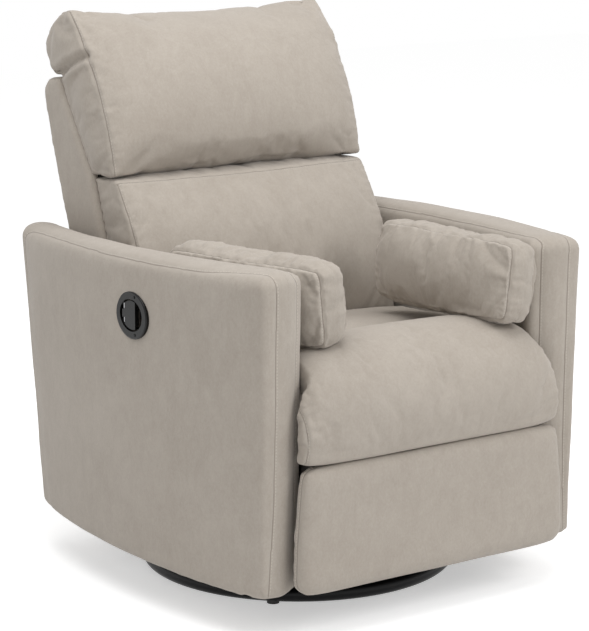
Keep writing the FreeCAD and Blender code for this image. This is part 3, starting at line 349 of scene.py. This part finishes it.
def brushed_cloth():
    """Suede-like cloth: a mottled nap brushed up and down, sewn seams with their stitches, painted shade
    in each seam groove and a painted highlight beside it.
    """
    s = Shader("brushed_cloth")
    cloud = s.noise(9, 3, 0.55)
    strokes = s.noise(48, 5, 0.72, (1, 1, 0.55), 0.6)
    flecks = s.noise(260, 3, 0.75, (1, 1, 0.7))
    fibre = s.noise(1400, 2, 0.7)
    nap = s.math("ADD", s.math("MULTIPLY", cloud, 0.25), s.math("MULTIPLY", strokes, 0.4))
    nap = s.math("ADD", nap, s.math("MULTIPLY", flecks, 0.35))
    pale = s.remap(nap, 0.5, 0.66)
    dark = s.remap(nap, 0.5, 0.36)
    colour = s.blend(s.math("MULTIPLY", pale, 0.45), CLOTH, CLOTH_PALE)
    colour = s.blend(s.math("MULTIPLY", dark, 0.4), colour, CLOTH_DARK)
    colour = s.blend(s.remap(fibre, 0.35, 0.75, 0.0, 0.14), colour, CLOTH_DARK)

    offset = s.attribute("seam_offset")
    away = s.math("ABSOLUTE", offset)
    along = s.attribute("seam_along")
    # painted shade: the cloth is darker in the groove of each seam
    valley = s.remap(away, 0.0016, 0.0, 0.0, 1.0, True)
    # painted highlight: the cloth turns paler towards each seam, where its rolled edge catches the light
    seam_highlight = s.remap(away, 0.010, 0.002, 0.0, 0.16)
    stitch_row = s.remap(s.math("ABSOLUTE", s.math("SUBTRACT", offset, STITCH_OFFSET)), 0.0010, 0.0004)
    dash = s.remap(s.math("FRACT", s.math("DIVIDE", along, STITCH_PITCH)), 0.62, 0.5)
    stitch = s.math("MULTIPLY", stitch_row, dash)
    colour = s.blend(seam_highlight, colour, CLOTH_PALE)
    colour = s.blend(s.math("MULTIPLY", valley, 0.68), colour, SEAM_PAINTED_SHADE)
    colour = s.blend(s.math("MULTIPLY", stitch, 0.55), colour, THREAD)

    rough = s.remap(strokes, 0.3, 0.7, 0.84, 0.96)
    normal = s.bump(fibre, 0.3, 0.0006)
    normal = s.bump(flecks, 0.14, 0.0012, normal)
    normal = s.bump(strokes, 0.16, 0.003, normal)
    normal = s.bump(s.math("SUBTRACT", stitch, valley), 0.5, 0.0012, normal)
    s.set(Sheen_Weight=0.3, Sheen_Roughness=0.5, Sheen_Tint=(0.96, 0.93, 0.9, 1))
    s.set(Specular_IOR_Level=0.12)
    return s.finish(colour, rough, normal)


def shade_lining_cloth():
    """Thin black-brown cloth that wraps the rails and stiles, kept dark as painted shade so the frame
    seen in the gaps reads as shadow.
    """
    s = Shader("shade_lining_cloth")
    weave = s.noise(700, 2, 0.6)
    colour = s.blend(s.remap(weave, 0.3, 0.7), SHADE_LINING, SHADE_LINING_PALE)
    return s.finish(colour, s.remap(weave, 0.3, 0.7, 0.85, 0.95), s.bump(weave, 0.3, 0.0005))


def satin_black_metal():
    s = Shader("satin_black_metal")
    grain = s.noise(900, 2, 0.6)
    wear = s.remap(s.noise(25, 5, 0.7), 0.58, 0.78)
    colour = s.blend(wear, (0.003, 0.003, 0.0035), (0.009, 0.009, 0.010))
    rough = s.remap(grain, 0.3, 0.7, 0.3, 0.42)
    s.set(Specular_IOR_Level=0.22)
    return s.finish(colour, rough, s.bump(grain, 0.08, 0.0003))


def zinc_steel(name, dark, pale):
    s = Shader(name)
    grain = s.noise(400, 3, 0.6, (1, 6, 6))
    colour = s.blend(s.remap(grain, 0.3, 0.7), dark, pale)
    s.set(Metallic=1.0)
    return s.finish(colour, s.remap(grain, 0.3, 0.7, 0.3, 0.5), s.bump(grain, 0.1, 0.0002))


def gloss_black_plastic():
    s = Shader("gloss_black_plastic")
    scuff = s.remap(s.noise(120, 4, 0.6), 0.5, 0.8)
    colour = s.blend(scuff, (0.003, 0.003, 0.003), (0.007, 0.007, 0.007))
    rough = s.remap(scuff, 0, 1, 0.2, 0.32)
    s.set(Specular_IOR_Level=0.25)
    return s.finish(colour, rough, s.bump(s.noise(60, 2), 0.03, 0.0005))


def raw_wood():
    s = Shader("raw_wood")
    grain = s.noise(30, 6, 0.65, (1, 0.08, 1), 1.5)
    colour = s.blend(s.remap(grain, 0.35, 0.65), (0.50, 0.33, 0.18), (0.64, 0.47, 0.29))
    return s.finish(colour, s.remap(grain, 0.3, 0.7, 0.55, 0.75), s.bump(grain, 0.2, 0.0006))


def moulded_plastic(name, dark, pale):
    s = Shader(name)
    grain = s.noise(500, 2, 0.6)
    colour = s.blend(s.remap(grain, 0.3, 0.7), dark, pale)
    return s.finish(colour, s.remap(grain, 0.3, 0.7, 0.45, 0.6), s.bump(grain, 0.1, 0.0003))


def woven_webbing():
    s = Shader("woven_webbing")
    weave = s.node("ShaderNodeTexChecker")
    weave.inputs["Scale"].default_value = 500
    s.wire(s.place, weave.inputs["Vector"])
    colour = s.blend(weave.outputs["Fac"], (0.02, 0.02, 0.02), (0.06, 0.058, 0.055))
    rough = s.remap(weave.outputs["Fac"], 0, 1, 0.8, 0.95)
    return s.finish(colour, rough, s.bump(weave.outputs["Fac"], 0.3, 0.0005))


CLOTH_MATERIAL = brushed_cloth()
MATERIALS = {
    "upholstery": CLOTH_MATERIAL,
    "black_steel": satin_black_metal(),
    "bare_steel": zinc_steel("zinc_steel", (0.42, 0.42, 0.43), (0.6, 0.6, 0.61)),
    "spring_steel": zinc_steel("oiled_steel", (0.12, 0.12, 0.13), (0.22, 0.22, 0.23)),
    "frame_wood": raw_wood(),
    "webbing": woven_webbing(),
    "latch_plastic": gloss_black_plastic(),
    "glide_plastic": moulded_plastic("glide_pad_plastic", (0.01, 0.01, 0.01), (0.03, 0.03, 0.03)),
    "washer_plastic": moulded_plastic("natural_nylon", (0.62, 0.6, 0.54), (0.72, 0.7, 0.64)),
}
# these rails wear the dark lining, painted shade where they show in the gaps
WRAPPED_IN_SHADE_LINING = ("seat_side_rails", "seat_cross_rails", "back_stiles", "back_rails")


def dress_frame_parts():
    """Every rigid piece gets the material of its slot, but rails wear the dark lining that stands in as
    painted shade, and screws are black.
    """
    own = dict.fromkeys(WRAPPED_IN_SHADE_LINING, shade_lining_cloth())
    own["latch_screws"] = MATERIALS["black_steel"]
    for part in frame["record"]["subparts"]:
        mesh = frame["nodes"][part["node"]].data
        mesh.materials.clear()
        mesh.materials.append(own.get(part["node"], MATERIALS[part["material_slot"]]))


# Making cloth pieces


def joined_mesh(name, nodes):
    """The solids of some nodes in one mesh."""
    corners = []
    faces = []
    for node in nodes:
        mesh = frame["nodes"][node].data
        start = len(corners)
        corners.extend(tuple(v.co) for v in mesh.vertices)
        faces.extend([start + i for i in polygon.vertices] for polygon in mesh.polygons)
    mesh = bpy.data.meshes.new(name)
    mesh.from_pydata(corners, [], faces)
    return mesh


def solid_copy(name, voxel, smooth, *nodes):
    """An even mesh of solids taken together, with its edges a little rounded."""
    piece = link_object(name, joined_mesh(name, nodes))
    weld = piece.modifiers.new("weld", "WELD")
    weld.merge_threshold = WELD_REACH
    remesh = piece.modifiers.new("remesh", "REMESH")
    remesh.mode = "VOXEL"
    remesh.voxel_size = voxel
    soften = piece.modifiers.new("soften", "SMOOTH")
    soften.factor = 0.5
    soften.iterations = smooth
    baked(piece)
    return piece


def nothing_hidden(points, normals):
    return np.zeros(len(points), bool)


def fill_cover(piece, seams, hidden, pressure, cap, slack, shrink):
    """Swell a slack cover with pressure. Its seams and its hidden faces stay put."""
    mesh = piece.data
    points = read_points(mesh)
    normals = read_normals(mesh)
    _, away, _, _ = seams.laid_on(mesh).measure(points, normals)
    fixed = (away < PINNED_REACH) | hidden(points, normals)
    loose = swell(away, SLACK_REACH) * ~fixed
    start = points - normals * (shrink * loose)[:, None]
    write_points(mesh, start)
    held = piece.vertex_groups.new(name="held")
    held.add([int(i) for i in np.where(fixed)[0]], 1.0, "REPLACE")
    cloth = piece.modifiers.new("cloth", "CLOTH")
    settings = cloth.settings
    settings.quality = 3
    settings.mass = 0.15
    settings.tension_stiffness = 25
    settings.compression_stiffness = 25
    settings.shear_stiffness = 10
    settings.bending_stiffness = 0.25
    settings.air_damping = 4
    settings.use_pressure = True
    settings.uniform_pressure_force = pressure
    settings.vertex_group_mass = "held"
    settings.shrink_min = -slack
    settings.effector_weights.gravity = 0
    cloth.point_cache.frame_start = 1
    cloth.point_cache.frame_end = FILL_STEPS
    scene = bpy.context.scene
    for step in range(1, FILL_STEPS + 1):
        scene.frame_set(step)
    baked(piece)
    scene.frame_set(1)
    moved = read_points(piece.data) - start
    length = np.linalg.norm(moved, axis=1, keepdims=True)
    share = np.minimum(1, cap / np.maximum(length, 1e-9))
    write_points(piece.data, start + moved * share)


def divide(piece):
    finer = piece.modifiers.new("finer", "SUBSURF")
    finer.levels = 1
    finer.render_levels = 1
    baked(piece)


def sew(piece, seams, depth=0.0022, crown=0.0, crown_reach=0.05, pucker=0.0014, pucker_pitch=75):
    """Sink the seams, gather the cloth beside them, and record them for the material."""
    mesh = piece.data
    points = read_points(mesh)
    normals = read_normals(mesh)
    laid = seams.laid_on(mesh)
    near, away, offset, along = laid.measure(points, normals)
    groove = np.exp(-((away / GROOVE_HALF_WIDTH) ** 2))
    beside = np.exp(-away / GATHER_REACH) * (1 - groove)
    ripple = wander(near, pucker_pitch)
    move = -depth * groove + pucker * beside * ripple + crown * swell(away, crown_reach)
    write_points(mesh, points + normals * move[:, None])
    for name, values in (("seam_offset", offset), ("seam_along", along)):
        mark = mesh.attributes.new(name, "FLOAT", "POINT")
        mark.data.foreach_set("value", values.astype(np.float32))


def crease(piece, lines, depth, width, lift=0.4):
    """Press soft folds into the cloth, with a low roll on either side of each."""
    folds = seams_of(lines)
    mesh = piece.data
    points = read_points(mesh)
    normals = read_normals(mesh)
    _, away, _, _ = folds.laid_on(mesh).measure(points, normals)
    dip = np.exp(-((away / width) ** 2))
    roll = np.exp(-(((away - 2.2 * width) / (1.2 * width)) ** 2))
    write_points(mesh, points + normals * ((lift * roll - dip) * depth)[:, None])


def rumple(piece, height, pitch, seed):
    """Slow undulations of soft padding."""
    mesh = piece.data
    points = read_points(mesh)
    normals = read_normals(mesh)
    write_points(mesh, points + normals * (height * wander(points, pitch, seed))[:, None])


def finish_piece(piece, body, node):
    piece.data.shade_smooth()
    piece.data.materials.clear()
    piece.data.materials.append(CLOTH_MATERIAL)
    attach(piece, body)
    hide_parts(node)


# Arms


def arm_top(y, share=0.985):
    """Height of the arm's rounded shoulder."""
    along = (y - ARM_FRONT_Y) / ARM_RUN
    low = ARM_BOTTOM_FRONT + ARM_BOTTOM_RISE * along
    high = ARM_TOP_FRONT - ARM_TOP_DROP * along
    return low + (high - low) * share


def arm_seams():
    """The band round the arm is sewn to its outer and its inner panel."""
    outer_plan = [(319, -350), (338, -307), (367, -233), (386, -120), (394, 0), (391, 100)]
    outer_plan += [(381, 201), (367, 320)]
    outer_top = [(x, y, arm_top(y)) for x, y in outer_plan]
    outer_front = [(326, -368, 84), (316, -378, 250), (315, -378, 420), (315, -378, 606)]
    outer_rear = [(366, 346, 590), (362, 340, 400), (350, 318, 90)]
    outer = rounded(outer_front + outer_top + outer_rear, 22)
    inner_plan = [(268, -362), (272, -320), (290, -230), (306, -126), (322, 20), (317, 180), (303, 330)]
    inner_top = [(x, y, arm_top(y)) for x, y in inner_plan]
    inner_front = [(262, -352, 84), (262, -366, 250), (262, -366, 420), (262, -366, 604)]
    inner_rear = [(302, 350, 588), (302, 348, 400), (302, 312, 90)]
    inner = rounded(inner_front + inner_top + inner_rear, 22)
    return outer, inner


def make_arm(side, sign):
    piece = solid_copy("arm_cover_" + side, VOXEL, 5, "arm_" + side, "arm_board_" + side)
    lines = arm_seams() if sign > 0 else [mirrored(line) for line in arm_seams()]
    seams = seams_of(lines)
    sew(piece, seams, depth=0.0016, crown=0.004, crown_reach=0.03, pucker=0.0006, pucker_pitch=50)
    rumple(piece, 0.0012, 9, 3.0 * sign)
    finish_piece(piece, "chassis", "arm_" + side)


# Seat


def seat_front_profile(x):
    """Side outline of the front roll at its edge."""
    toe = (x, -399, 303)
    brow = (x, -377, 399)
    crest = (x, -300, 421)
    return arc_points(toe, (x, -407, 352), brow) + arc_points(brow, (x, -342, 418), crest)


def make_seat_front():
    piece = solid_copy("seat_front_cover", VOXEL, 3, "seat_front_cushion")
    seams = seams_of(both(seat_front_profile(SEAT_HALF)))

    def hidden(points, normals):
        return (points[:, 2] < 0.318) | (points[:, 1] > -0.2)

    fill_cover(piece, seams, hidden, 4.0, 0.014, 0.012, 0.004)
    divide(piece)
    sew(piece, seams, depth=0.0035, crown=0.003, crown_reach=0.03, pucker=0.0042, pucker_pitch=80)
    rumple(piece, 0.0015, 8, 1.0)
    finish_piece(piece, "seat", "seat_front_cushion")


def make_seat_rear():
    piece = solid_copy("seat_rear_cover", COARSE_VOXEL, 3, "seat_rear_cushion")
    edge = [(258, -186, 428), (270, -150, 440), (286, -60, 440), (296, 56, 432)]
    seams = seams_of(both(edge))
    divide(piece)
    sew(piece, seams, depth=0.003, crown=0.004)
    rumple(piece, 0.002, 10, 2.0)
    finish_piece(piece, "seat", "seat_rear_cushion")


# Back


def lumbar_edge(x):
    return [(x, 62, 409), (x, 70, 470), (x, 92, 560), (x, 130, 640), (x, 172, 704)]


def make_lumbar():
    piece = solid_copy("lumbar_cover", VOXEL, 3, "lumbar_cushion")
    top = arc_points((-BACK_HALF, 172, 706), (0, 152, 706), (BACK_HALF, 172, 706))
    seams = seams_of(both(lumbar_edge(BACK_HALF)) + [top])

    def hidden(points, normals):
        return (normals[:, 1] > 0.7) | (points[:, 2] < 0.412)

    fill_cover(piece, seams, hidden, 4.0, 0.014, 0.014, 0.004)
    divide(piece)
    sew(piece, seams, depth=0.002, crown=0.002, pucker=0.0016, pucker_pitch=90)
    rumple(piece, 0.0015, 8, 4.0)
    finish_piece(piece, "back", "lumbar_cushion")


def head_profile(x):
    """Edge of the head cushion's side, from its chin over the top to its nape."""
    chin = (x, 176, 712)
    peak = (x, 330, 1006)
    nape = (x, 421, 938)
    front = arc_points(chin, (x, 226, 858), peak)
    over = arc_points(peak, (x, 387, 982), nape)
    under = arc_points(nape, (x, 412, 912), (x, 372, 880))
    return front + over[1:] + under[1:]


def make_head():
    piece = solid_copy("head_cover", VOXEL, 3, "head_cushion")
    seams = seams_of(both(head_profile(BACK_HALF + 1)))

    def hidden(points, normals):
        return (normals[:, 1] > 0.5) & (points[:, 2] < 0.87)

    fill_cover(piece, seams, hidden, 4.0, 0.016, 0.018, 0.004)
    divide(piece)
    sew(piece, seams, depth=0.0016, crown=0.004, crown_reach=0.03, pucker=0.0024, pucker_pitch=95)
    tuck = [(283, 374, 880), (283, 338, 894), (283, 301, 911), (281, 266, 927)]
    crease(piece, both(tuck), 0.008, 0.007)
    rumple(piece, 0.0015, 8, 5.0)
    finish_piece(piece, "back", "head_cushion")


def make_shell():
    piece = solid_copy("shell_cover", VOXEL, 4, "back_shell")
    outer = [(257, 380), (344, 611), (394, 750), (417, 832), (419, 857), (404, 873), (359, 879)]
    seams = seams_of(both([(282, y - 4, z) for y, z in outer]))
    sew(piece, seams, depth=0.0016, crown=0.002)
    rumple(piece, 0.001, 9, 6.0)
    finish_piece(piece, "back", "back_shell")


# Footrest


def footrest_edge():
    """Seam down the right side of the footrest, just behind its face."""
    side = [(250, 294), (274, 291), (280, 270), (288, 190), (292, 105), (280, 84)]
    return [(x, FOOT_SEAM_Y, z) for x, z in side]


def make_footrest():
    piece = solid_copy("footrest_cover", VOXEL, 3, "footrest_pad")
    seams = seams_of(both(rounded(footrest_edge(), 12)))
    sew(piece, seams, depth=0.002, crown=0.003, crown_reach=0.03, pucker=0.0022, pucker_pitch=80)
    rumple(piece, 0.0012, 8, 7.0)
    finish_piece(piece, "footrest", "footrest_pad")


def make_rear_panel():
    piece = solid_copy("rear_panel_cover", VOXEL, 3, "rear_panel")
    outline = [(-1, PANEL_BOTTOM), (1, PANEL_BOTTOM), (1, PANEL_TOP), (-1, PANEL_TOP), (-1, PANEL_BOTTOM)]
    corners = [(sign * PANEL_HALF, PANEL_Y, z) for sign, z in outline]
    sew(piece, seams_of([rounded(corners, 10)]), crown=0.002)
    finish_piece(piece, "chassis", "rear_panel")


# Side pillows


def pillow_loop(side):
    """One of the two seam loops of a boxed pillow, in the pillow's own place."""
    half = PILLOW_LENGTH / 2
    low = 3
    high = PILLOW_HEIGHT - 3
    corners = [(side, 0, low), (side, half - 2, low), (side, half - 2, high), (side, -half + 2, high),
               (side, -half + 2, low), (side, 0, low)]
    path = rounded(corners, 26)
    fat = [1 - min(1, abs(p[1]) / half) ** 2 for p in path]
    return [Vector((p[0] + math.copysign(PILLOW_FAT * f, side), p[1], p[2])) for p, f in zip(path, fat)]


def settle_pillow(piece, place, reach, sag):
    """Draw a pillow's corners in, as a sewn cover does, and let its top dip between them."""
    back = np.array(place.inverted())
    out = np.array(place)
    points = read_points(piece.data)
    local = points @ back[:3, :3].T + back[:3, 3]
    along = local[:, 1] / (PILLOW_LENGTH / 2000)
    up = local[:, 2] / (PILLOW_HEIGHT / 2000) - 1
    pull = reach * np.minimum(1, np.abs(along * up)) ** 4
    local[:, 1] -= pull * np.sign(along)
    top = np.maximum(up, 0)
    local[:, 2] -= pull * (up > 0) + sag * top * np.maximum(1 - along**2, 0)
    write_points(piece.data, local @ out[:3, :3].T + out[:3, 3])


def make_pillow(side, x, y, z, turn, lean):
    node = "side_pillow_" + side
    piece = solid_copy("pillow_cover_" + side, PILLOW_VOXEL, 16, node)
    place = Matrix.Translation((x / 1000, y / 1000, z / 1000))
    place = place @ Matrix.Rotation(math.radians(turn), 4, "Z")
    place = place @ Matrix.Rotation(math.radians(lean), 4, "Y")
    settle_pillow(piece, place, 0.007, 0.009)
    loops = [in_metres(pillow_loop(s)) for s in (-PILLOW_HALF_EDGE, PILLOW_HALF_EDGE)]
    seams = Seams([[place @ p for p in loop] for loop in loops])
    fill_cover(piece, seams, nothing_hidden, 5.0, 0.014, 0.034, 0.004)
    divide(piece)
    sew(piece, seams, depth=0.003, crown=0.004, crown_reach=0.02, pucker=0.0042, pucker_pitch=95)
    finish_piece(piece, "pillow_" + side, node)


# Studio


def pale_floor():
    mesh = bpy.data.meshes.new("studio_floor")
    mesh.from_pydata([(-8, -8, 0), (8, -8, 0), (8, 8, 0), (-8, 8, 0)], [], [(0, 1, 2, 3)])
    floor = link_object("studio_floor", mesh)
    s = Shader("studio_floor")
    s.surface.inputs["Base Color"].default_value = (0.86, 0.86, 0.86, 1)
    s.surface.inputs["Roughness"].default_value = 0.9
    s.surface.inputs["Specular IOR Level"].default_value = 0.0
    glow = s.node("ShaderNodeEmission")
    path = s.node("ShaderNodeLightPath")
    seen = s.math("MAXIMUM", path.outputs["Is Camera Ray"], path.outputs["Is Glossy Ray"])
    s.wire(s.math("MULTIPLY", seen, FLOOR_GLOW), glow.inputs["Strength"])
    both_lights = s.node("ShaderNodeAddShader")
    s.wire(s.surface.outputs[0], both_lights.inputs[0])
    s.wire(glow.outputs[0], both_lights.inputs[1])
    s.wire(both_lights.outputs[0], s.tree.nodes["Material Output"].inputs["Surface"])
    mesh.materials.append(s.material)


def studio_world():
    world = bpy.data.worlds.new("studio")
    world.use_nodes = True
    tree = world.node_tree
    light = tree.nodes["Background"]
    light.inputs["Color"].default_value = (1, 1, 1, 1)
    light.inputs["Strength"].default_value = WORLD_LIGHT
    seen = tree.nodes.new("ShaderNodeBackground")
    seen.inputs["Color"].default_value = (1, 1, 1, 1)
    seen.inputs["Strength"].default_value = 1.0
    path = tree.nodes.new("ShaderNodeLightPath")
    mix = tree.nodes.new("ShaderNodeMixShader")
    either = tree.nodes.new("ShaderNodeMath")
    either.operation = "MAXIMUM"
    tree.links.new(path.outputs["Is Camera Ray"], either.inputs[0])
    tree.links.new(path.outputs["Is Glossy Ray"], either.inputs[1])
    tree.links.new(either.outputs[0], mix.inputs[0])
    tree.links.new(light.outputs[0], mix.inputs[1])
    tree.links.new(seen.outputs[0], mix.inputs[2])
    tree.links.new(mix.outputs[0], tree.nodes["World Output"].inputs["Surface"])
    bpy.context.scene.world = world


def soft_light(name, place, target, size, power):
    data = bpy.data.lights.new(name, "AREA")
    data.size = size
    data.energy = power
    lamp = bpy.data.objects.new(name, data)
    lamp.location = place
    lamp.rotation_euler = (Vector(target) - Vector(place)).to_track_quat("-Z", "Y").to_euler()
    bpy.context.scene.collection.objects.link(lamp)


def studio_lights():
    soft_light("key", (1.4, -3.0, 2.6), (0, 0, 0.5), 1.8, 53)
    soft_light("top", (-0.6, -0.4, 3.2), (0, 0, 0.4), 2.2, 49)
    soft_light("side", (-3.4, -0.8, 1.5), (0, 0, 0.4), 1.8, 5)


def photo_camera():
    data = bpy.data.cameras.new("camera")
    data.sensor_width = 36
    data.lens = CAMERA_LENS
    view = bpy.data.objects.new("camera", data)
    view.location = CAMERA_PLACE
    view.rotation_euler = Euler((math.radians(90 + CAMERA_PITCH), 0, math.radians(-CAMERA_YAW)))
    bpy.context.scene.collection.objects.link(view)
    bpy.context.scene.camera = view


dress_frame_parts()
make_arm("left", -1)
make_arm("right", 1)
make_seat_front()
make_seat_rear()
make_lumbar()
make_head()
make_shell()
make_footrest()
make_rear_panel()
make_pillow("left", -212, -180, 481.2, 14, -7)
make_pillow("right", 181, -212, 480.95, 4, 7)
pale_floor()
studio_world()
studio_lights()
photo_camera()
bpy.context.scene.view_settings.view_transform = "Standard"
